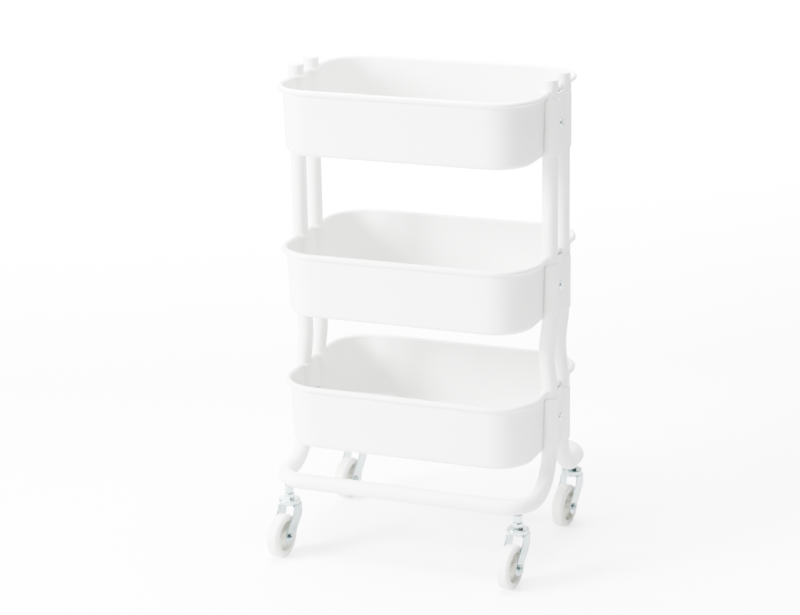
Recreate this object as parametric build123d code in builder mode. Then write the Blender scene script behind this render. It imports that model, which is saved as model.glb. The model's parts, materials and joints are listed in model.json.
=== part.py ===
from build123d import *
import math
import os

# Rolling pantry cart: three sheet-steel trays between four bent tube uprights, on four swivel casters.
# Millimetres. X is the long side, Y the depth (front is -Y), Z is up from the floor.
# Every piece is drawn about the middle of the trays, then moved back by footprint_shift, so that
# the origin is the middle of the whole footprint with the casters trailing towards the front.

# ---- trays ----
tray_names = ["top", "middle", "bottom"]
rim_heights = {"top": 759.5, "middle": 500.0, "bottom": 282.0}  # middle of the rolled rim
tray_depth = 102.0  # middle of the rim down to the underside
rim_half_x = 210.0  # middle of the rolled rim
rim_half_y = 148.0
rim_corner = 67.5
rim_r = 4.5  # radius of the rolled rim
sheet = 1.0
wall_inset = 3.5  # outer face of the wall inside the middle of the rim, at the top
wall_draft = 3.5  # how much further in the wall is at the bottom
bottom_round = 10.0
rim_flat = 2.5  # thickness of the rim where it is pressed flat in a groove

# ---- tubes ----
tube_r = 12.5
tube_wall = 1.2
tube_x = 210.5
tube_y = 30.0
cart_top = 780.0
cap_flange = 2.2
cap_plug = 12.0
groove_r = tube_r + 0.4
joint_z = rim_heights["middle"] - 6.0  # top of the lower legs, just above the middle clamp
joint_chamfer = 0.6
joint_seam = 0.7  # open line between lower leg and upper tube
bow = 4.5  # the legs step in between the middle and bottom trays
bow_run = 36.0  # height over which they do so
bow_bend = 100.0
rail_y = 146.0
rail_z = 124.5
foot_bend = 60.0  # upright to foot
corner_bend = 40.0  # foot to rail
seam_x = 10.0  # the rail's two halves meet this far from the middle
joiner_length = 60.0
joiner_gap = 0.05

# ---- clamps ----
clamp_height = 86.0
clamp_drop = 10.0  # top of the clamp below the middle of the rim
clamp_sheet = 2.0
clamp_inner_r = tube_r + 0.1
clamp_web_x = 217.5  # outer face of the web between the two tubes
clamp_end_x = tube_x - 2.5  # the wrap goes a little past the side of the tube
clamp_tab = 6.0  # the web stands this much higher than the wraps
clamp_tab_half = 15.5
clamp_tab_round = 4.0
bolt_drop = 53.0
bolt_r = 3.0
bolt_hole_r = 3.3
bolt_head_r = 7.7
bolt_head_height = 3.4
bolt_end_x = 193.5
nut_across = 10.0
nut_height = 5.0
nut_face_x = 203.3  # just inside the tray's wall

# ---- casters ----
wheel_r = 35.0
tyre_width = 20.0
tyre_seat_r = 26.0
caster_trail = 28.0
caster_turn = -6.0  # degrees that every caster stands turned at rest
stem_angle = 53.0  # where the stem stands on the rail's corner bend
cap_top = 90.0
caster_cap_r = 17.5
stem_r = 5.0
fork_sheet = 2.2
fork_half = 15.8
fork_top = 83.2
fork_corner = 5.0
arm_knee_z = 66.0  # where the arms start to sweep forward
arm_half = 13.0
arm_end_r = 12.5
axle_r = 3.0
axle_across = 10.0
axle_head = 4.0
axle_nut_height = 4.0
axle_end = 1.6
hub_boss_half = 13.2
hub_boss_r = 8.0
hub_web = 4.0
hub_rim = 1.6
tyre_shoulder = 5.0
rivet_low = 77.5
rivet_r = 8.5
stem_top = 118.0
cap_sheet = 1.5
ball_r = 2.3
ball_ring_r = 11.0
ball_count = 12
lock_nut_across = 16.0
lock_nut_height = 8.5
rail_nut_across = 14.5
rail_nut_height = 8.5
running_gap = 0.05
slide_gap = 0.4

tube_bore = tube_r - tube_wall
sides = {"left": -1, "right": 1}
ends = {"front": -1, "rear": 1}
corner_centre_x = tube_x - corner_bend
corner_centre_y = rail_y - corner_bend
stem_x = corner_centre_x + corner_bend * math.cos(math.radians(stem_angle))
stem_y = corner_centre_y + corner_bend * math.sin(math.radians(stem_angle))
turn = math.radians(abs(caster_turn))
wheel_reach = (wheel_r - tyre_shoulder) * math.cos(turn) + tyre_shoulder
wheel_reach += (tyre_width / 2 - tyre_shoulder) * math.sin(turn)
front_reach = stem_y + caster_trail * math.cos(turn) + wheel_reach
rear_reach = rail_y + tube_r
footprint_shift = (front_reach - rear_reach) / 2


os.makedirs("parts", exist_ok=True)


def save(piece, node):
    """Move a piece into the footprint's frame, name it and write its STEP file."""
    placed = piece.moved(Location((0, footprint_shift, 0)))
    placed.label = node
    export_step(placed, f"parts/{node}.step")


# ---------------------------------------------------------------- trays
# The tray is drawn once with the middle of its rim at height 0, then placed at its three heights.
def tray_block(low_z, top_z, inset, groove, low_round):
    """Solid of a tray's outline: drafted walls, round lower edge, four tube grooves."""
    height = top_z - low_z
    low_inset = wall_inset + wall_draft + inset
    length = 2 * (rim_half_x - low_inset)
    width = 2 * (rim_half_y - low_inset)
    with BuildPart() as block:
        with BuildSketch(Plane.XY.offset(low_z)):
            RectangleRounded(length, width, rim_corner - low_inset)
        extrude(amount=height, taper=-math.degrees(math.atan(wall_draft / tray_depth)))
        fillet(block.edges().group_by(Axis.Z)[0], low_round)
        with BuildSketch(Plane.XY.offset(low_z - 1)):
            with GridLocations(2 * tube_x, 2 * tube_y, 2, 2):
                Circle(groove)
        extrude(amount=height + 2, mode=Mode.SUBTRACT)
    return block.part


def make_rim():
    """Hollow rolled rim that follows the tray's rounded outline, pinched flat at each groove."""
    with BuildSketch() as outline:
        RectangleRounded(2 * rim_half_x, 2 * rim_half_y, rim_corner)
    start = Plane(origin=(0, -rim_half_y, 0), x_dir=(0, 1, 0), z_dir=(1, 0, 0))
    with BuildPart() as rim:
        with BuildSketch(start):
            Circle(rim_r)
            Circle(rim_r - sheet, mode=Mode.SUBTRACT)
        sweep(path=outline.wire())
        with BuildSketch(Plane.XY.offset(-2 * rim_r)):
            with GridLocations(2 * tube_x, 2 * tube_y, 2, 2):
                Circle(groove_r + rim_flat)
        extrude(amount=4 * rim_r, mode=Mode.SUBTRACT)
        with BuildSketch(Plane.XY.offset(-rim_r)):
            with GridLocations(2 * tube_x, 2 * tube_y, 2, 2):
                Circle(groove_r + rim_flat)
                Circle(groove_r, mode=Mode.SUBTRACT)
            Rectangle(2 * (rim_half_x + rim_r - rim_flat), 2 * rim_half_y, mode=Mode.INTERSECT)
        extrude(amount=2 * rim_r)
    return rim.part


tray_outer = tray_block(-tray_depth, 0, 0, groove_r, bottom_round)
tray_inner = tray_block(sheet - tray_depth, 1, sheet, groove_r + sheet, bottom_round - sheet)
tray_rim = make_rim()

with BuildPart() as tray:
    add(tray_outer)
    add(tray_inner, mode=Mode.SUBTRACT)
    add(tray_rim)
    with BuildSketch(Plane.YZ.offset(-rim_half_x)):
        with Locations((0, -bolt_drop)):
            Circle(bolt_hole_r)
    extrude(amount=2 * rim_half_x, mode=Mode.SUBTRACT)

for level in tray_names:
    save(tray.part.moved(Location((0, 0, rim_heights[level]))), f"tray_{level}")


# ---------------------------------------------------------------- clamps
# One pressed plate wraps the outer halves of both tubes on a side, with a flat web between them.
web_half_y = tube_y - math.sqrt(clamp_inner_r**2 - (clamp_web_x - clamp_sheet - tube_x) ** 2)

with BuildPart() as clamp_plate:
    with BuildSketch(Plane.XY.offset(-clamp_drop - clamp_height)):
        with Locations((tube_x, tube_y), (tube_x, -tube_y)):
            Circle(clamp_inner_r + clamp_sheet)
        with Locations((clamp_web_x - clamp_sheet / 2, 0)):
            Rectangle(clamp_sheet, 2 * web_half_y)
        with Locations((tube_x, tube_y), (tube_x, -tube_y)):
            Circle(clamp_inner_r, mode=Mode.SUBTRACT)
        with Locations((clamp_end_x, 0)):
            Rectangle(100, 200, align=(Align.MAX, Align.CENTER), mode=Mode.SUBTRACT)
        with Locations((clamp_web_x - clamp_sheet, 0)):
            Rectangle(100, 2 * tube_y, align=(Align.MAX, Align.CENTER), mode=Mode.SUBTRACT)
    extrude(amount=clamp_height)
    with BuildSketch(Plane.XY.offset(-clamp_drop)):
        with Locations((clamp_web_x - clamp_sheet / 2, 0)):
            Rectangle(clamp_sheet, 2 * clamp_tab_half)
    extrude(amount=clamp_tab)
    fillet(clamp_plate.edges().filter_by(Axis.X).group_by(Axis.Z)[-1], clamp_tab_round)
    with BuildSketch(Plane.YZ.offset(clamp_web_x - 10)):
        with Locations((0, -bolt_drop)):
            Circle(bolt_hole_r)
    extrude(amount=20, mode=Mode.SUBTRACT)

for level in tray_names:
    for side, sign in sides.items():
        lift = Location((0, 0, rim_heights[level]))
        plate = clamp_plate.part if sign > 0 else clamp_plate.part.mirror(Plane.YZ)
        save(plate.moved(lift), f"clamp_plate_{level}_{side}")

with BuildPart() as clamp_bolt:
    with BuildSketch(Plane.YZ.offset(clamp_web_x)):
        Circle(bolt_head_r)
    extrude(amount=bolt_head_height)
    fillet(clamp_bolt.edges().group_by(Axis.X)[-1], bolt_head_height - 0.8)
    with BuildSketch(Plane.YZ.offset(clamp_web_x + bolt_head_height)):
        RegularPolygon(2.3, 6)
    extrude(amount=-2.2, mode=Mode.SUBTRACT)
    with BuildSketch(Plane.YZ.offset(bolt_end_x)):
        Circle(bolt_r)
    extrude(amount=clamp_web_x - bolt_end_x)
    chamfer(clamp_bolt.edges().group_by(Axis.X)[0], 0.6)

with BuildPart() as clamp_nut:
    with BuildSketch(Plane.YZ.offset(nut_face_x)):
        RegularPolygon(nut_across / 2, 6, major_radius=False)
        Circle(bolt_r, mode=Mode.SUBTRACT)
    extrude(amount=-nut_height)

bolt_places = []
for level in tray_names:
    for half_turn in (0, 180):
        bolt_places.append(Location((0, 0, rim_heights[level] - bolt_drop), (0, 0, half_turn)))

with BuildPart() as clamp_bolts:
    with Locations(*bolt_places):
        add(clamp_bolt.part)
save(clamp_bolts.part, "clamp_bolts")

with BuildPart() as clamp_nuts:
    with Locations(*bolt_places):
        add(clamp_nut.part)
save(clamp_nuts.part, "clamp_nuts")


# ---------------------------------------------------------------- tubes
def make_leg(side, end):
    """Lower leg: upright below the middle clamp, foot, corner bend and its share of the rail."""
    x = side * tube_x
    y = end * tube_y
    step = x - side * bow
    seam = end * seam_x
    points = [
        (x, y, joint_z),
        (x, y, rim_heights["middle"] - tray_depth - 4),
        (step, y, rim_heights["middle"] - tray_depth - 4 - bow_run),
        (step, y, rim_heights["bottom"] + rim_r + 8 + bow_run),
        (x, y, rim_heights["bottom"] + rim_r + 8),
        (x, y, rail_z),
        (x, end * rail_y, rail_z),
        (seam, end * rail_y, rail_z),
    ]
    radii = [bow_bend, bow_bend, bow_bend, bow_bend, foot_bend, corner_bend]
    with BuildPart() as leg:
        with BuildLine() as path:
            FilletPolyline(*points, radius=radii)
        with BuildSketch(Plane(origin=points[0], z_dir=(0, 0, -1))):
            Circle(tube_r)
            Circle(tube_bore, mode=Mode.SUBTRACT)
        sweep(path=path.wire())
        chamfer(leg.edges().group_by(Axis.Z)[-1].sort_by(SortBy.LENGTH)[-1], joint_chamfer)
        with BuildSketch(Plane.XY.offset(rail_z - tube_r - 1)):
            with Locations((side * stem_x, end * stem_y)):
                Circle(stem_r + running_gap)
        extrude(amount=tube_r, mode=Mode.SUBTRACT)
    return leg.part


for end, end_sign in ends.items():
    for side, side_sign in sides.items():
        save(make_leg(side_sign, end_sign), f"leg_{end}_{side}")

        with BuildPart() as upper_tube:
            with BuildSketch(Plane.XY.offset(joint_z + joint_seam)):
                with Locations((side_sign * tube_x, end_sign * tube_y)):
                    Circle(tube_r)
                    Circle(tube_bore, mode=Mode.SUBTRACT)
            extrude(amount=cart_top - cap_flange - joint_z - joint_seam)
            chamfer(upper_tube.edges().group_by(Axis.Z)[0].sort_by(SortBy.LENGTH)[-1], joint_chamfer)
        save(upper_tube.part, f"upper_tube_{end}_{side}")

        with BuildPart() as tube_cap:
            with BuildSketch(Plane.XY.offset(cart_top - cap_flange)):
                with Locations((side_sign * tube_x, end_sign * tube_y)):
                    Circle(tube_r)
            extrude(amount=cap_flange)
            fillet(tube_cap.edges().group_by(Axis.Z)[-1], 0.8)
            with BuildSketch(Plane.XY.offset(cart_top - cap_flange)):
                with Locations((side_sign * tube_x, end_sign * tube_y)):
                    Circle(tube_bore - joiner_gap)
            extrude(amount=-cap_plug)
        save(tube_cap.part, f"tube_cap_{end}_{side}")

with BuildPart() as tube_joiners:
    with BuildSketch(Plane.XY.offset(joint_z - joiner_length / 2)):
        with GridLocations(2 * tube_x, 2 * tube_y, 2, 2):
            Circle(tube_bore - joiner_gap)
            Circle(tube_bore - joiner_gap - tube_wall, mode=Mode.SUBTRACT)
    extrude(amount=joiner_length)
save(tube_joiners.part, "tube_joiners")

with BuildPart() as rail_joiners:
    for sign in ends.values():
        with BuildSketch(Plane.YZ.offset(sign * seam_x - joiner_length / 2)):
            with Locations((sign * rail_y, rail_z)):
                Circle(tube_bore - joiner_gap)
                Circle(tube_bore - joiner_gap - tube_wall, mode=Mode.SUBTRACT)
        extrude(amount=joiner_length)
save(rail_joiners.part, "rail_joiners")


# ---------------------------------------------------------------- casters
# A caster is drawn once: stem on the Z axis, axle along X, wheel trailing towards -Y.
axle_plane = Plane(origin=(0, -caster_trail, wheel_r), x_dir=(1, 0, 0), z_dir=(0, -1, 0))
axle_line = Axis((0, -caster_trail, wheel_r), (1, 0, 0))
cap_low = fork_top + slide_gap

with BuildPart() as stem:
    with BuildSketch(Plane.XY.offset(rivet_low)):
        Circle(rivet_r)
    extrude(amount=fork_top - fork_sheet - slide_gap - rivet_low)
    chamfer(stem.edges().group_by(Axis.Z)[0], 0.8)
    with BuildSketch(Plane.XY.offset(rivet_low)):
        Circle(stem_r)
    extrude(amount=stem_top - rivet_low)
    chamfer(stem.edges().group_by(Axis.Z)[-1], 0.8)

with BuildPart() as bearing_cap:
    with BuildSketch(Plane.XY.offset(cap_low)):
        Circle(caster_cap_r)
    extrude(amount=cap_top - cap_low)
    fillet(bearing_cap.edges().group_by(Axis.Z)[-1], 1.6)
    with BuildSketch(Plane.XY.offset(cap_low)):
        Circle(caster_cap_r - cap_sheet)
    extrude(amount=cap_top - cap_low - cap_sheet, mode=Mode.SUBTRACT)
    with BuildSketch(Plane.XY.offset(cap_low)):
        Circle(stem_r)
    extrude(amount=2 * (cap_top - cap_low), mode=Mode.SUBTRACT)

with BuildPart() as balls:
    with Locations((0, 0, fork_top + ball_r)):
        with PolarLocations(ball_ring_r, ball_count):
            Sphere(ball_r)

with BuildPart() as fork:
    with BuildSketch(Plane.XZ.offset(-caster_trail)) as bridge:
        with Locations((0, fork_top)):
            Rectangle(2 * fork_half, fork_top, align=(Align.CENTER, Align.MAX))
        fillet(bridge.vertices().group_by(Axis.Y)[-1], fork_corner)
        with BuildSketch(mode=Mode.PRIVATE) as clear_space:
            with Locations((0, fork_top - fork_sheet)):
                Rectangle(2 * (fork_half - fork_sheet), fork_top, align=(Align.CENTER, Align.MAX))
            fillet(clear_space.vertices().group_by(Axis.Y)[-1], fork_corner - fork_sheet)
        add(clear_space.sketch, mode=Mode.SUBTRACT)
    extrude(amount=3 * caster_trail)
    with BuildSketch(Plane.YZ.offset(-2 * fork_half)) as arm:
        with Locations((0, arm_knee_z)):
            Circle(arm_half)
        with Locations((-caster_trail, wheel_r)):
            Circle(arm_end_r)
        make_hull()
        with Locations((0, arm_knee_z)):
            Rectangle(2 * arm_half, fork_top, align=(Align.CENTER, Align.MIN))
    extrude(amount=4 * fork_half, mode=Mode.INTERSECT)
    with BuildSketch(Plane.XY.offset(fork_top - 2 * fork_sheet)):
        Circle(stem_r + running_gap)
    extrude(amount=3 * fork_sheet, mode=Mode.SUBTRACT)
    with BuildSketch(Plane.YZ.offset(-2 * fork_half)):
        with Locations((-caster_trail, wheel_r)):
            Circle(axle_r)
    extrude(amount=4 * fork_half, mode=Mode.SUBTRACT)

with BuildPart() as axle:
    with BuildSketch(Plane.YZ.offset(-fork_half)):
        with Locations((-caster_trail, wheel_r)):
            RegularPolygon(axle_across / 2, 6, major_radius=False)
    extrude(amount=-axle_head)
    with BuildSketch(Plane.YZ.offset(-fork_half)):
        with Locations((-caster_trail, wheel_r)):
            Circle(axle_r)
    extrude(amount=2 * fork_half + axle_nut_height + axle_end)
    chamfer(axle.edges().group_by(Axis.X)[-1], 0.6)

with BuildPart() as axle_nut:
    with BuildSketch(Plane.YZ.offset(fork_half)):
        with Locations((-caster_trail, wheel_r)):
            RegularPolygon(axle_across / 2, 6, major_radius=False)
            Circle(axle_r, mode=Mode.SUBTRACT)
    extrude(amount=axle_nut_height)

with BuildPart() as hub:
    with BuildSketch(axle_plane):
        with Locations((0, axle_r + running_gap)):
            Rectangle(2 * hub_boss_half, hub_boss_r - axle_r - running_gap, align=(Align.CENTER, Align.MIN))
        with Locations((0, hub_boss_r - 1)):
            Rectangle(hub_web, tyre_seat_r - hub_boss_r, align=(Align.CENTER, Align.MIN))
        with Locations((0, tyre_seat_r)):
            Rectangle(tyre_width - 1, hub_rim, align=(Align.CENTER, Align.MAX))
    revolve(axis=axle_line)

with BuildPart() as tyre:
    with BuildSketch(axle_plane) as tread:
        with Locations((0, tyre_seat_r)):
            Rectangle(tyre_width, wheel_r - tyre_seat_r, align=(Align.CENTER, Align.MIN))
        fillet(tread.vertices().group_by(Axis.Y)[-1], tyre_shoulder)
    revolve(axis=axle_line)

caster_pieces = {
    "caster_stem": stem,
    "bearing_cap": bearing_cap,
    "bearing_balls": balls,
    "fork": fork,
    "axle": axle,
    "axle_nut": axle_nut,
    "wheel_hub": hub,
    "tyre": tyre,
}
caster_places = []
for end, end_sign in ends.items():
    for side, side_sign in sides.items():
        place = Location((side_sign * stem_x, end_sign * stem_y, 0), (0, 0, caster_turn))
        caster_places.append(place)
        for piece_name, piece in caster_pieces.items():
            save(piece.part.moved(place), f"{piece_name}_{end}_{side}")

with BuildPart() as lock_nut:
    with BuildSketch(Plane.XY.offset(cap_top)):
        RegularPolygon(lock_nut_across / 2, 6, major_radius=False)
        Circle(stem_r, mode=Mode.SUBTRACT)
    extrude(amount=lock_nut_height)

with BuildPart() as rail_nut:
    with BuildSketch(Plane.XY.offset(rail_z - tube_r)):
        RegularPolygon(rail_nut_across / 2, 6, major_radius=False)
        Circle(stem_r, mode=Mode.SUBTRACT)
    extrude(amount=-rail_nut_height)

with BuildPart() as lock_nuts:
    with Locations(*caster_places):
        add(lock_nut.part)
save(lock_nuts.part, "lock_nuts")

with BuildPart() as rail_nuts:
    with Locations(*caster_places):
        add(rail_nut.part)
save(rail_nuts.part, "rail_nuts")
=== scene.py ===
# %% [markdown]
# # Rolling pantry cart
# A white steel cart: three deep trays are clamped between four bent tubes, and four zinc-plated
# swivel casters carry it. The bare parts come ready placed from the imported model. This lesson
# draws the sheet-metal pieces again as worked-out surfaces, because their charm is in soft
# pressed shapes, and then gives every piece its finish, the light and the camera.

import json
import math

import bmesh
import bpy
import numpy as np
from mathutils import Matrix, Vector
from mathutils.geometry import delaunay_2d_cdt


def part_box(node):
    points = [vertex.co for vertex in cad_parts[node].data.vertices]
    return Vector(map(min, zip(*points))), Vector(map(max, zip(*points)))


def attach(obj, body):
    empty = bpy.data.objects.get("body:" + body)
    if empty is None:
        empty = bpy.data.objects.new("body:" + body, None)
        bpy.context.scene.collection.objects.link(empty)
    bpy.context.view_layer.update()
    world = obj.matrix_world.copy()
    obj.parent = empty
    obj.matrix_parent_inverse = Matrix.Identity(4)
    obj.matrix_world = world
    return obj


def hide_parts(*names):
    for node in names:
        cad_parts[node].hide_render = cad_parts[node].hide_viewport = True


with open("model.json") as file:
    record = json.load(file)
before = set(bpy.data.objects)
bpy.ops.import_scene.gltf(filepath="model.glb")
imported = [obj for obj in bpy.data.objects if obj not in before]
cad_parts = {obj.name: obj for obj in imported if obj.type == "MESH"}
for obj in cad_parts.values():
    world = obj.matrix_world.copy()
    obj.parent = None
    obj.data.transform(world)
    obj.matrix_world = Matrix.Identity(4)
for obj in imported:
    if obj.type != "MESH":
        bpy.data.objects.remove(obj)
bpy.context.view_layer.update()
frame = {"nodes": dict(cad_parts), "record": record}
print("loaded", len(frame["nodes"]), "pieces")


# %% [markdown]
# ## Sizes that everything shares
# The trays, tubes and clamps fit one another, so their places are read from the part itself.
# Only the thicknesses and the small radii that a press leaves are written here, in metres.

# %% Read the main sizes from the part
def span(node):
    """Middle of a node's box and its half sizes, as two arrays."""
    low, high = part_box(node)
    low, high = np.array(low), np.array(high)
    return (low + high) / 2, (high - low) / 2


RIM = 0.0045
SHEET = 0.001
TRAY_MIDDLE, TRAY_HALF = span("tray_top")
MIDDLE_Y = TRAY_MIDDLE[1]
HALF_X = TRAY_HALF[0] - RIM
HALF_Y = TRAY_HALF[1] - RIM
CORNER = 0.0675
DEPTH = 2 * TRAY_HALF[2] - RIM
TUBE_AT, TUBE_HALF = span("upper_tube_rear_right")
TUBE_X = TUBE_AT[0]
TUBE_Y = TUBE_AT[1] - MIDDLE_Y
TUBE_R = TUBE_HALF[0]
LEVELS = {}
for level in ("top", "middle", "bottom"):
    LEVELS[level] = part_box("tray_" + level)[1][2] - RIM
print("tray rims at", LEVELS, "tubes at", TUBE_X, TUBE_Y)


# %% [markdown]
# ## Two small tools for surfaces
# Each new piece is a grid of points: one direction runs round the piece, the other across it.
# The first tool says which four points make each face, the second turns points into an object.

# %% Tools for grids of points
def grid_faces(rows, cols, closed=True):
    """Faces of a grid with point number = row * cols + col; closed joins the last col to the first."""
    col = np.arange(cols if closed else cols - 1)
    row = np.arange(rows - 1)[:, None] * cols
    after = (col + 1) % cols
    return np.stack([row + col, row + after, row + cols + after, row + cols + col], -1).reshape(-1, 4)


def make_piece(name, points, faces, body, crease=40.0):
    """Object with the given points and faces, smooth except where it bends more than crease degrees."""
    mesh = bpy.data.meshes.new(name)
    mesh.from_pydata(np.asarray(points).tolist(), [], [tuple(int(i) for i in face) for face in faces])
    mesh.validate()
    mesh.update()
    mesh.shade_smooth()
    mesh.set_sharp_from_angle(angle=math.radians(crease))
    piece = bpy.data.objects.new(name, mesh)
    bpy.context.collection.objects.link(piece)
    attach(piece, body)
    print(name, len(mesh.vertices), "points", len(mesh.polygons), "faces")
    return piece


# %% [markdown]
# ## Trays
# Each tray is one pressed sheet: a perforated floor, a round lower edge, walls that lean out a
# little, and a rolled rim. Where the tubes pass, the end walls are pressed in to half-round
# grooves with soft shoulders and the rim is squeezed thin. The outline is worked out once as
# stations round the tray, and each height then only moves every station in or out.

# %% Stations round a tray
CORE_X = HALF_X - CORNER
CORE_Y = HALF_Y - CORNER


def end_wall_stops():
    """Y places along an end wall, close together over the two grooves and wide apart between."""
    near = [0, 1.5, 3, 4.5, 6, 7.2, 8.4, 9.5, 10.4, 11.1, 11.7, 12.15, 12.5, 12.75, 12.9, 13.1]
    near += [13.4, 13.8, 14.3, 14.9, 15.6, 16.4, 17.2, 18.0, 18.8]
    near = np.array(near) / 1000
    groove = np.concatenate([-near[:0:-1], near])
    stops = np.concatenate([[-CORE_Y], groove - TUBE_Y, [-0.007, 0, 0.007], groove + TUBE_Y])
    wide = np.linspace(TUBE_Y + 0.022, CORE_Y, 8)
    return np.unique(np.concatenate([stops, wide, -wide]).round(7))


def stations():
    """Foot points, outward directions and end-wall signs, going once round anticlockwise."""
    ends = end_wall_stops()
    turn = np.linspace(0, math.pi / 2, 26)[1:-1]
    along = np.linspace(-CORE_X, CORE_X, 25)[1:-1]
    foot, out, end = [], [], []
    for sign in (1, -1):
        foot.append(np.stack([np.full(len(ends), sign * CORE_X), sign * ends], -1))
        out.append(np.tile([sign, 0.0], (len(ends), 1)))
        end.append(np.full(len(ends), sign))
        for quarter in (0, 1):
            centre = np.array([CORE_X, CORE_Y]) * ([1, 1] if quarter == 0 else [-1, 1]) * sign
            angle = turn + quarter * math.pi / 2 + (0 if sign > 0 else math.pi)
            foot.append(np.tile(centre, (len(angle), 1)))
            out.append(np.stack([np.cos(angle), np.sin(angle)], -1))
            end.append(np.zeros(len(angle)))
            if quarter == 0:
                foot.append(np.stack([-along * sign, np.full(len(along), CORE_Y * sign)], -1))
                out.append(np.tile([0.0, sign], (len(along), 1)))
                end.append(np.zeros(len(along)))
    return np.concatenate(foot), np.concatenate(out), np.concatenate(end)


FOOT, OUT, END = stations()
print("stations round a tray:", len(FOOT))


# %% [markdown]
# A groove in an end wall is a circle of the tube's axis, met by a small round shoulder. Both are
# plain circles, so the wall's place follows from Pythagoras. The deeper the wall stands inside
# the rim, the shallower the groove is, and at the round lower edge it runs out by itself.

# %% Plan of the wall with its grooves
def wall_plan(inset, reach, soft):
    """Points round the tray at a given inset from the rim's middle line.

    Away from the grooves:      p = foot + out * (CORNER - inset)
    In a groove, t from tube:   x = TUBE_X - sqrt(reach^2 - t^2)
    On its shoulder:            x = wall - soft + sqrt(soft^2 - (run - t)^2)
    with run = sqrt((reach + soft)^2 - (TUBE_X - wall + soft)^2) and wall = HALF_X - inset.
    """
    plan = FOOT + OUT * (CORNER - np.asarray(inset))[..., None]
    wall = HALF_X - inset
    t = np.abs(np.abs(FOOT[:, 1]) - TUBE_Y)
    spare = (reach + soft) ** 2 - (TUBE_X - wall + soft) ** 2
    run = np.sqrt(np.maximum(spare, 0))
    circle = TUBE_X - np.sqrt(np.maximum(reach**2 - t**2, 0))
    shoulder = wall - soft + np.sqrt(np.maximum(soft**2 - (run - t) ** 2, 0))
    grooved = np.where(t < run * reach / (reach + soft), circle, np.where(t < run, shoulder, wall))
    grooved = np.where(spare > 0, np.minimum(grooved, wall), wall)
    plan[:, 0] = np.where(END != 0, END * grooved, plan[:, 0])
    return plan


WALL_INSET = 0.0035
DRAFT = 0.0035
LOW_ROUND = 0.010
TUBE_GAP = 0.0004
GROOVE = TUBE_R + TUBE_GAP
SHOULDER = 0.005
LOW_Z = LOW_ROUND - DEPTH


def wall_inset(z):
    """How far the wall's outer face stands inside the rim's middle line at height z below it."""
    return WALL_INSET + DRAFT * -z / DEPTH


LOW_INSET = wall_inset(LOW_Z)


def at_height(plan, z):
    """Plan points lifted to a height, which may differ from station to station."""
    return np.column_stack([plan, np.broadcast_to(z, len(plan))])


# %% [markdown]
# The wall's section is followed like a pencil line: from the floor up the inner face, over the
# rolled rim, and down the outer face to the floor again. The rim is a circle in section. In a
# groove its two faces close up on each other, and the same formula gives a thin flat lip. The
# rim's free edge is tucked in a little past the wall, which leaves a fine dark line under it.

# %% Section rings of a tray
LIP = 0.0025
SQUEEZE_Z = -0.009
TUCK = 0.22
OPEN_LINE = 0.0011


def tray_rings():
    """Rings of points that follow the section from the floor's top to the floor's underside."""
    rings = []
    for angle in np.linspace(math.pi / 2, 0, 9):
        inset = LOW_INSET + LOW_ROUND - (LOW_ROUND - SHEET) * math.cos(angle)
        z = LOW_Z - (LOW_ROUND - SHEET) * math.sin(angle)
        rings.append(at_height(wall_plan(inset, GROOVE + SHEET, SHOULDER - SHEET), z))
    for z in np.linspace(LOW_Z, SQUEEZE_Z, 12)[1:]:
        rings.append(at_height(wall_plan(wall_inset(z) + SHEET, GROOVE + SHEET, SHOULDER - SHEET), z))
    for step in (0.25, 0.5, 0.75):
        thick = SHEET + (LIP - SHEET) * (3 * step**2 - 2 * step**3)
        z = SQUEEZE_Z * (1 - step)
        rings.append(at_height(wall_plan(wall_inset(z) + SHEET, GROOVE + thick, SHOULDER - thick), z))

    inner = wall_plan(RIM, GROOVE + LIP, SHOULDER - LIP)
    outer = wall_plan(-RIM, GROOVE, SHOULDER)
    face = wall_plan(WALL_INSET, GROOVE, SHOULDER)
    middle = (inner + outer) / 2
    half = np.linalg.norm(outer - inner, axis=1) / 2
    along = np.sum((face - middle) * OUT, axis=1)
    last = np.arccos(np.clip(along / half, -1, 1))
    tuck = last + TUCK * np.sin(last)
    for step in np.linspace(0, 1, 23):
        angle = math.pi - step * (math.pi + tuck)
        plan = middle + OUT * (half * np.cos(angle))[:, None]
        rings.append(at_height(plan, RIM * np.sin(angle)))
    start = -RIM * np.sin(tuck) - OPEN_LINE * np.sin(last)
    for step in np.linspace(0, 1, 13):
        z = start + (LOW_Z - start) * step
        rings.append(at_height(wall_plan(wall_inset(z), GROOVE, SHOULDER), z))
    for angle in np.linspace(0, math.pi / 2, 9)[1:]:
        inset = LOW_INSET + LOW_ROUND - LOW_ROUND * math.cos(angle)
        z = LOW_Z - LOW_ROUND * math.sin(angle)
        rings.append(at_height(wall_plan(inset, GROOVE, SHOULDER), z))
    return np.array(rings)


RINGS = tray_rings()
print("rings in a tray's section:", len(RINGS))


# %% [markdown]
# ## Perforated floor
# The floor is punched with round holes in staggered rows, and a plain border stays round them.
# Cutting hundreds of holes from a solid is slow and untidy. Instead the flat sheet is divided
# into triangles between the outer ring and the holes' rings, once above and once below, and
# short walls join the two. A triangle whose corners all lie on one hole would close it, so it
# is left out.

# %% Floor sheet with staggered holes
PITCH = 0.011
HOLE_R = 0.00325
HOLE_SIDES = 14
BORDER = 0.013


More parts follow.
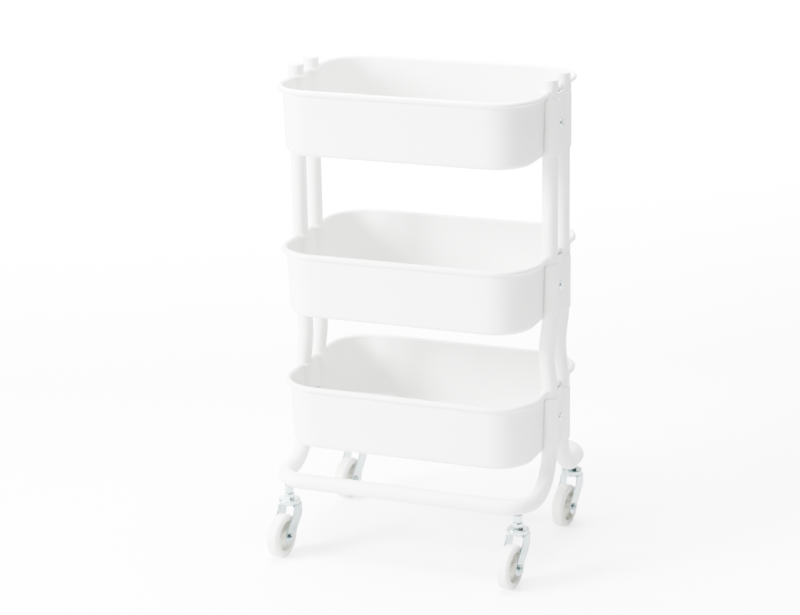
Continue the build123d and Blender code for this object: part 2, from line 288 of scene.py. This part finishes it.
def hole_centres():
    """Centres of the holes in staggered rows that keep the border's distance from the edge."""
    rows = int(HALF_Y / (PITCH * math.sqrt(0.75)))
    cols = int(HALF_X / PITCH)
    row, col = np.meshgrid(np.arange(-rows, rows + 1), np.arange(-cols, cols + 1), indexing="ij")
    x = (col + 0.5 * (row % 2)) * PITCH
    y = row * PITCH * math.sqrt(0.75)
    over = np.hypot(np.maximum(np.abs(x) - CORE_X, 0), np.maximum(np.abs(y) - CORE_Y, 0))
    keep = over < CORNER - LOW_INSET - LOW_ROUND - BORDER
    return np.stack([x[keep], y[keep]], -1)


def floor_sheet(edge):
    """Points and triangles of the floor between its edge ring and the holes, and the holes' rings."""
    centres = hole_centres()
    angle = np.arange(HOLE_SIDES) * 2 * math.pi / HOLE_SIDES
    circle = HOLE_R * np.stack([np.cos(angle), np.sin(angle)], -1)
    holes = (centres[:, None] + circle).reshape(-1, 2)
    points = np.concatenate([edge, holes])
    loops = [list(range(len(edge)))]
    for number in range(len(centres)):
        start = len(edge) + number * HOLE_SIDES
        loops.append(list(range(start, start + HOLE_SIDES)))
    result = delaunay_2d_cdt([tuple(1000 * p) for p in points], [], loops, 1, 1e-5)
    source = np.array([names[0] for names in result[3]])
    faces = source[np.array(result[2])]
    owner = (faces - len(edge)) // HOLE_SIDES
    inside = (faces >= len(edge)).all(1) & (owner[:, 0] == owner[:, 1]) & (owner[:, 0] == owner[:, 2])
    return points, faces[~inside], len(centres)


EDGE = RINGS[0][:, :2]
FLOOR, FLOOR_FACES, HOLES = floor_sheet(EDGE)
print("holes in a floor:", HOLES, "triangles:", len(FLOOR_FACES))


# %% [markdown]
# The three trays are the same pressing at three heights. The rings' first and last rows are the
# floor's edge above and below, so the floor's own points are only added for the holes.

# %% Put a tray together
def tray_points_and_faces():
    """All points of one tray about its rim height, and its faces."""
    count = len(FOOT)
    rings = RINGS.reshape(-1, 3)
    faces = [tuple(face) for face in grid_faces(len(RINGS), count)]
    holes = FLOOR[count:]
    above = len(rings)
    below = above + len(holes)
    top = np.column_stack([holes, np.full(len(holes), SHEET - DEPTH)])
    low = np.column_stack([holes, np.full(len(holes), -DEPTH)])
    last_row = (len(RINGS) - 1) * count
    shown = np.where(FLOOR_FACES < count, FLOOR_FACES, FLOOR_FACES - count + above)
    under = np.where(FLOOR_FACES < count, FLOOR_FACES + last_row, FLOOR_FACES - count + below)
    faces += [tuple(face) for face in shown]
    faces += [tuple(face[::-1]) for face in under]
    side = np.arange(HOLE_SIDES)
    for number in range(HOLES):
        here = above + number * HOLE_SIDES + side
        after = above + number * HOLE_SIDES + (side + 1) % HOLE_SIDES
        wall = np.stack([here, here + len(holes), after + len(holes), after], -1)
        faces += [tuple(face) for face in wall]
    return np.concatenate([rings, top, low]), faces


TRAY_POINTS, TRAY_FACES = tray_points_and_faces()
trays = []
for level, height in LEVELS.items():
    placed = TRAY_POINTS + [TRAY_MIDDLE[0], MIDDLE_Y, height]
    piece = make_piece("pressed_tray_" + level, placed, TRAY_FACES, "cart_frame")
    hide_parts("tray_" + level)
    trays.append(piece)


# %% [markdown]
# ## Clamp plates
# One bent plate holds both tubes of a side: it wraps round the outer half of each and runs flat
# between them. The bend line is drawn in plan as arcs that meet without a corner, and the plate
# is that line given a thickness and a height, with its four free corners rounded off.

# %% Bend line of a clamp plate
PLATE = 0.002
PLATE_GAP = 0.0001
WRAP = TUBE_R + PLATE_GAP + PLATE / 2
PAST_AXIS = 0.0025
WEB_OUT = 0.006
WEB_X = TUBE_X + WEB_OUT
BEND = 0.003
PLATE_CORNER = 0.005
TAB = 0.006
TAB_HALF = 0.0155
TAB_ROUND = 0.004


def plate_line():
    """Plan points and outward directions of the plate's middle line, from its rear to front end.

    Wrap:  centre (TUBE_X, TUBE_Y), radius WRAP, from 100.6 degrees down to the bend
    Bend:  centre (WEB_X + BEND, TUBE_Y - rise), radius BEND, turning the other way
    with rise = sqrt((WRAP + BEND)^2 - (WEB_X + BEND - TUBE_X)^2).
    """
    over = WEB_X + BEND - TUBE_X
    rise = math.sqrt((WRAP + BEND) ** 2 - over**2)
    meet = -math.atan2(rise, over)
    first = math.acos(-PAST_AXIS / (WRAP + PLATE / 2))
    angle = np.linspace(first, meet, 40)
    out = np.stack([np.cos(angle), np.sin(angle)], -1)
    wrap = np.array([TUBE_X, TUBE_Y]) + WRAP * out
    angle = np.linspace(meet, 0, 9)[1:]
    bend_out = np.stack([np.cos(angle), np.sin(angle)], -1)
    bend = np.array([WEB_X + BEND, TUBE_Y - rise]) - BEND * bend_out
    stops = [0.0157, 0.0152, 0.0146, 0.0138, 0.0128, 0.0115, 0.006, 0]
    line = np.concatenate([wrap, bend, [[WEB_X, y] for y in stops]])
    out = np.concatenate([out, bend_out, [[1, 0] for y in stops]])
    mirror = np.array([1, -1])
    return np.concatenate([line, line[-2::-1] * mirror]), np.concatenate([out, out[-2::-1] * mirror])


PLATE_LINE, PLATE_OUT = plate_line()


def plate_points(side, level):
    """Points and faces of one plate: a grid along the bend line by height, on both faces.

    Free corners:  half - r + sqrt(r^2 - (r - d)^2), r = PLATE_CORNER, d = way along the line to its end
    Raised web:    TAB * sqrt(1 - (|y| - flat)^2 / TAB_ROUND^2) above that, flat = TAB_HALF - TAB_ROUND
    """
    low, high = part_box("clamp_plate_" + level + "_" + side)
    half = (high[2] - low[2] - TAB) / 2
    steps = np.linalg.norm(np.diff(PLATE_LINE, axis=0), axis=1)
    run = np.concatenate([[0], np.cumsum(steps)])
    to_end = np.minimum(run, run[-1] - run)
    into = np.maximum(PLATE_CORNER - to_end, 0)
    shorter = PLATE_CORNER - np.sqrt(PLATE_CORNER**2 - into**2)
    across = np.linspace(-1, 1, 9)[:, None] * (half - shorter)
    over = np.maximum(np.abs(PLATE_LINE[:, 1]) - TAB_HALF + TAB_ROUND, 0) / TAB_ROUND
    across[-1] += TAB * np.sqrt(np.maximum(1 - over**2, 0))
    shell = []
    for offset in (PLATE / 2, -PLATE / 2):
        plan = PLATE_LINE + PLATE_OUT * offset
        x = np.broadcast_to(plan[:, 0], across.shape)
        y = np.broadcast_to(plan[:, 1], across.shape)
        shell.append(np.stack([x, y, across], -1))
    outer, inner = shell
    loop = np.concatenate([outer, inner[::-1]])
    points = loop.reshape(-1, 3).copy()
    rows, cols = loop.shape[:2]
    faces = [tuple(face) for face in grid_faces(rows, cols, closed=False)]
    last = (rows - 1) * cols
    col = np.arange(cols - 1)
    faces += [tuple(face) for face in np.stack([last + col, last + col + 1, col + 1, col], -1)]
    for col in (0, cols - 1):
        ends = np.arange(rows // 2 - 1)
        strip = np.stack([ends, ends + 1, rows - 2 - ends, rows - 1 - ends], -1) * cols + col
        faces += [tuple(face if col else face[::-1]) for face in strip]
    points += [0, MIDDLE_Y, (low[2] + high[2] - TAB) / 2]
    if side == "left":
        points[:, 0] *= -1
        faces = [face[::-1] for face in faces]
    return points, faces


def soften(piece, width):
    """Bevel on edges that turn more than 50 degrees, as a press or a coat of paint leaves them."""
    bevel = piece.modifiers.new("soft_edges", "BEVEL")
    bevel.width = width
    bevel.segments = 2
    bevel.limit_method = "ANGLE"
    bevel.angle_limit = math.radians(50)


plates = []
for level in LEVELS:
    for side in ("left", "right"):
        points, faces = plate_points(side, level)
        piece = make_piece("bent_clamp_" + level + "_" + side, points, faces, "cart_frame")
        soften(piece, 0.0005)
        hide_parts("clamp_plate_" + level + "_" + side)
        plates.append(piece)


# %% [markdown]
# ## Plated caster parts
# Forks, caps and nuts are stamped and plated, so no edge on them is knife sharp, and it is the
# small rounded edges that catch the dark and bright lines of the room. The forks and nuts are drawn
# again from their parts' own flat faces, joined back together, with those edges rounded over.

# %% Rounded copies of the caster metal
def rounded_copy(node, width, body):
    """New piece with the node's faces, its flat triangles joined, and its edges rounded."""
    shape = bmesh.new()
    shape.from_mesh(frame["nodes"][node].data)
    bmesh.ops.remove_doubles(shape, verts=shape.verts, dist=0.00002)
    bmesh.ops.dissolve_limit(shape, angle_limit=math.radians(0.6), verts=shape.verts, edges=shape.edges)
    points = np.array([corner.co for corner in shape.verts])
    shape.verts.index_update()
    faces = [tuple(corner.index for corner in face.verts) for face in shape.faces]
    shape.free()
    piece = make_piece("plated_" + node, points, faces, body, crease=32.0)
    soften(piece, width)
    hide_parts(node)
    return piece


plated = []
for place in ("front_left", "front_right", "rear_left", "rear_right"):
    plated.append(rounded_copy("fork_" + place, 0.0006, "caster_" + place))
    plated.append(rounded_copy("axle_nut_" + place, 0.0004, "caster_" + place))
plated.append(rounded_copy("lock_nuts", 0.0006, "cart_frame"))
plated.append(rounded_copy("rail_nuts", 0.0006, "cart_frame"))


# %% [markdown]
# ## Shader sums
# A finish is mostly arithmetic: a little more of this tint where that noise is high. The small
# class below lets such sums be written as sums, and every sum becomes a node.

# %% A value that knows its node tree
class Value:
    """A shader socket or number that can be added, multiplied and mixed in plain sums."""

    def __init__(self, tree, socket):
        self.tree = tree
        self.socket = socket

    def sum_node(self, operation, first, second, clamp=False):
        """Math node of two values, either of which may be a number."""
        node = self.tree.nodes.new("ShaderNodeMath")
        node.operation = operation
        node.use_clamp = clamp
        for slot, item in zip(node.inputs, (first, second)):
            if isinstance(item, Value):
                self.tree.links.new(item.socket, slot)
            else:
                slot.default_value = item
        return Value(self.tree, node.outputs[0])

    def __add__(self, other):
        return self.sum_node("ADD", self, other)

    __radd__ = __add__

    def __sub__(self, other):
        return self.sum_node("SUBTRACT", self, other)

    def __mul__(self, other):
        return self.sum_node("MULTIPLY", self, other)

    def __truediv__(self, other):
        return self.sum_node("DIVIDE", self, other)

    def clip(self):
        """The value held between 0 and 1."""
        return self.sum_node("ADD", self, 0.0, clamp=True)


class Finish:
    """A material with one Principled shader, whose sockets take numbers, colours or Values."""

    def __init__(self, name):
        self.material = bpy.data.materials.new(name)
        self.material.use_nodes = True
        self.tree = self.material.node_tree
        self.shader = self.tree.nodes["Principled BSDF"]
        coords = self.node("ShaderNodeTexCoord")
        self.place = coords.outputs["Object"]

    def node(self, kind, settings=None, **inputs):
        """A node of any kind: settings are its properties, inputs its sockets by name."""
        made = self.tree.nodes.new(kind)
        for key, item in (settings or {}).items():
            setattr(made, key, item)
        for key, item in inputs.items():
            self.feed(made.inputs[key.replace("_", " ")], item)
        return made

    def feed(self, socket, item):
        """Link a Value or a socket into a socket, or write a plain number or colour on it."""
        if isinstance(item, Value):
            item = item.socket
        if isinstance(item, bpy.types.NodeSocket):
            self.tree.links.new(item, socket)
        else:
            socket.default_value = item

    def noise(self, scale, detail=2.0, roughness=0.5):
        """Noise over the piece's own metres: scale is bumps per metre."""
        made = self.node("ShaderNodeTexNoise", Vector=self.place, Scale=scale, Detail=detail,
                         Roughness=roughness)
        return Value(self.tree, made.outputs["Fac"])

    def blend(self, amount, low, high):
        """Colour between low and high by an amount from 0 to 1."""
        made = self.node("ShaderNodeMix", {"data_type": "RGBA"})
        self.feed(made.inputs["Factor"], amount)
        for socket, colour in zip((made.inputs[6], made.inputs[7]), (low, high)):
            self.feed(socket, (*colour, 1.0))
        return made.outputs[2]

    def set(self, **inputs):
        """Feed the Principled shader's sockets by name."""
        for key, item in inputs.items():
            if isinstance(item, tuple):
                item = (*item, 1.0)
            self.feed(self.shader.inputs[key.replace("_", " ")], item)

    def bump(self, height, distance, strength=1.0):
        """Fine relief of a height Value, distance in metres."""
        made = self.node("ShaderNodeBump", Height=height, Distance=distance, Strength=strength)
        self.feed(self.shader.inputs["Normal"], made.outputs["Normal"])


# %% [markdown]
# ## Finishes
# White powder coat is cured paint: softly shiny, with a faint orange-peel ripple and hardly any
# change of tint.

# %% White powder coat
def powder_coat(name, tint):
    """Satin white paint with orange peel about a millimetre wide."""
    coat = Finish(name)
    drift = coat.noise(9.0, 3.0)
    speck = coat.noise(260.0, 2.0)
    darker = tuple(0.965 * part for part in tint)
    coat.set(Base_Color=coat.blend((drift * 1.4 - 0.2).clip(), darker, tint))
    coat.set(Roughness=0.34 + drift * 0.08 + speck * 0.05, IOR=1.5)
    coat.set(Coat_Weight=0.12, Coat_Roughness=0.25)
    coat.bump(coat.noise(700.0, 2.0) + coat.noise(240.0, 1.0) * 0.6, 0.00003, 0.35)
    return coat.material


white_coat = powder_coat("white_powder_coat", (0.88, 0.88, 0.864))


# %% [markdown]
# Zinc plate is bright, and its tint drifts between a dark blue-green and a pale grey. The bare
# steel of axles and stems is the same finish, paler and rougher.

# %% Zinc plate
def zinc_plate(name, low, high, rough):
    """Bright plated steel whose tint drifts between two colours, with a fine brushed ripple."""
    zinc = Finish(name)
    drift = (zinc.noise(95.0, 3.0, 0.6) * 2.2 - 0.6).clip()
    fine = zinc.noise(900.0, 2.0)
    zinc.set(Base_Color=zinc.blend(drift, low, high), Metallic=1.0)
    zinc.set(Roughness=rough + fine * 0.12 + drift * 0.05)
    zinc.bump(fine, 0.00002, 0.4)
    return zinc.material


zinc = zinc_plate("zinc_plate", (0.26, 0.40, 0.43), (0.56, 0.59, 0.58), 0.1)
bright_steel = zinc_plate("bright_steel", (0.60, 0.61, 0.63), (0.70, 0.70, 0.70), 0.25)


# %% [markdown]
# The tyres are matt white plastic, their hubs a greyer one, and the tube caps a whiter one. Once
# all finishes are there, every piece is given the one that its place in the part asks for.

# %% Plastics
def plastic(name, low, high, rough, grain):
    """Moulded plastic with a slight unevenness of tint and a fine matt grain."""
    made = Finish(name)
    drift = made.noise(45.0, 3.0)
    made.set(Base_Color=made.blend(drift, low, high))
    made.set(Roughness=rough + drift * 0.1, IOR=1.48)
    made.bump(made.noise(grain, 2.0), 0.00003, 0.5)
    return made.material


tyre_white = plastic("white_tyre", (0.76, 0.76, 0.73), (0.84, 0.84, 0.81), 0.42, 600.0)
hub_grey = plastic("grey_hub", (0.66, 0.66, 0.58), (0.74, 0.74, 0.66), 0.35, 500.0)
plug_white = plastic("white_plug", (0.86, 0.86, 0.85), (0.90, 0.90, 0.89), 0.28, 400.0)

FINISHES = {
    "white_powder_coat": white_coat,
    "zinc_plate": zinc,
    "bright_steel": bright_steel,
    "white_tyre": tyre_white,
    "grey_hub": hub_grey,
    "white_plug": plug_white,
}
for part in frame["record"]["subparts"]:
    node = frame["nodes"][part["node"]]
    node.data.materials.clear()
    node.data.materials.append(FINISHES[part["material_slot"]])
for piece in trays + plates:
    piece.data.materials.append(white_coat)
for piece in plated:
    piece.data.materials.append(zinc)
print("finishes:", list(FINISHES))


# %% [markdown]
# ## Floor and light
# The cart stands on a pale sheet that curves up behind it, as in a product studio. The sheet
# glows, more so far behind and to the left, but only as it is looked at, so that it is white
# all over and throws no light of its own on the cart.

# %% Sweep under and behind the cart
def make_sweep():
    """Backdrop: flat floor, a quarter circle of radius bend, then a wall."""
    back = 3.5
    bend = 2.5
    angle = np.linspace(0, math.pi / 2, 20)
    x = np.linspace(-12, 12, 5)
    y = np.concatenate([[-9.0], back + bend * np.sin(angle), [back + bend]])
    z = np.concatenate([[0.0], bend - bend * np.cos(angle), [9.0]])
    points = np.stack(np.broadcast_arrays(x, y[:, None], z[:, None]), -1)
    mesh = bpy.data.meshes.new("studio_sweep")
    mesh.from_pydata(points.reshape(-1, 3).tolist(), [], grid_faces(len(y), len(x), closed=False).tolist())
    mesh.shade_smooth()
    sweep = bpy.data.objects.new("studio_sweep", mesh)
    bpy.context.collection.objects.link(sweep)
    paper = Finish("studio_paper")
    split = paper.node("ShaderNodeSeparateXYZ", Vector=paper.place)
    x, y = Value(paper.tree, split.outputs["X"]), Value(paper.tree, split.outputs["Y"])
    far = ((y * 0.9 - x * 0.45 - 0.9) / 2.0).clip()
    path = paper.node("ShaderNodeLightPath")
    seen = Value(paper.tree, path.outputs["Is Camera Ray"])
    glow = paper.blend((far * 0.8 + 0.2) * seen, (0.0, 0.0, 0.0), (1.0, 1.0, 1.0))
    paper.set(Base_Color=(0.93, 0.93, 0.93), Roughness=0.9)
    paper.set(Emission_Color=glow, Emission_Strength=14.0)
    mesh.materials.append(paper.material)


make_sweep()


# %% [markdown]
# A large soft light from the front left does most of the work, one overhead fills the trays, a
# weak one keeps the rear from going flat, and the room fills the rest.

# %% Lights
def looking(place, right, ahead):
    """Placing of a lamp or camera that looks along ahead, with right to its right."""
    up = np.cross(right, ahead)
    return Matrix([[right[i], up[i], -ahead[i], place[i]] for i in range(3)] + [[0, 0, 0, 1]])


def area_light(name, place, target, size, power):
    """Square soft light at a place, facing a target."""
    data = bpy.data.lights.new(name, "AREA")
    data.size = size
    data.energy = power
    light = bpy.data.objects.new(name, data)
    bpy.context.collection.objects.link(light)
    ahead = np.array(target, float) - np.array(place, float)
    ahead /= np.linalg.norm(ahead)
    side = np.cross(ahead, [0, 0, 1])
    side /= np.linalg.norm(side)
    light.matrix_world = looking(place, side, ahead)


HEART = (0.0, MIDDLE_Y, 0.4)
area_light("key", (-2.5, -2.3, 1.8), HEART, 1.4, 1120)
area_light("top", (-0.2, 0.1, 3.2), HEART, 2.0, 820)
area_light("rear_fill", (-1.8, 2.9, 1.7), HEART, 1.6, 110)

world = bpy.data.worlds.new("room")
bpy.context.scene.world = world
world.use_nodes = True
room = world.node_tree.nodes["Background"]
room.inputs["Color"].default_value = (0.97, 0.98, 1.0, 1.0)
path = world.node_tree.nodes.new("ShaderNodeLightPath")
seen = Value(world.node_tree, path.outputs["Is Camera Ray"])
world.node_tree.links.new((seen * 6.0 + 0.3).socket, room.inputs["Strength"])


# %% [markdown]
# ## Camera
# The view is from a good three metres, to the right of the front and from above, with a long
# lens, so that the three trays stay nearly parallel. Its three angles are in radians: heading
# turns it about the upright, dip lowers its nose, and tilt rolls it.

# %% Camera
LENS_PLACE = (1.3257, -3.4260, 1.5111)
HEADING = -0.3803
DIP = 0.2945
TILT = -0.0163
ahead = np.array([math.sin(HEADING) * math.cos(DIP), math.cos(HEADING) * math.cos(DIP), -math.sin(DIP)])
level_right = np.array([math.cos(HEADING), -math.sin(HEADING), 0.0])
level_up = np.cross(level_right, ahead)
right = math.cos(TILT) * level_right + math.sin(TILT) * level_up
data = bpy.data.cameras.new("view")
data.sensor_width = 36.0
data.lens = 108.42
camera = bpy.data.objects.new("view", data)
bpy.context.collection.objects.link(camera)
camera.matrix_world = looking(LENS_PLACE, right, ahead)
bpy.context.scene.camera = camera
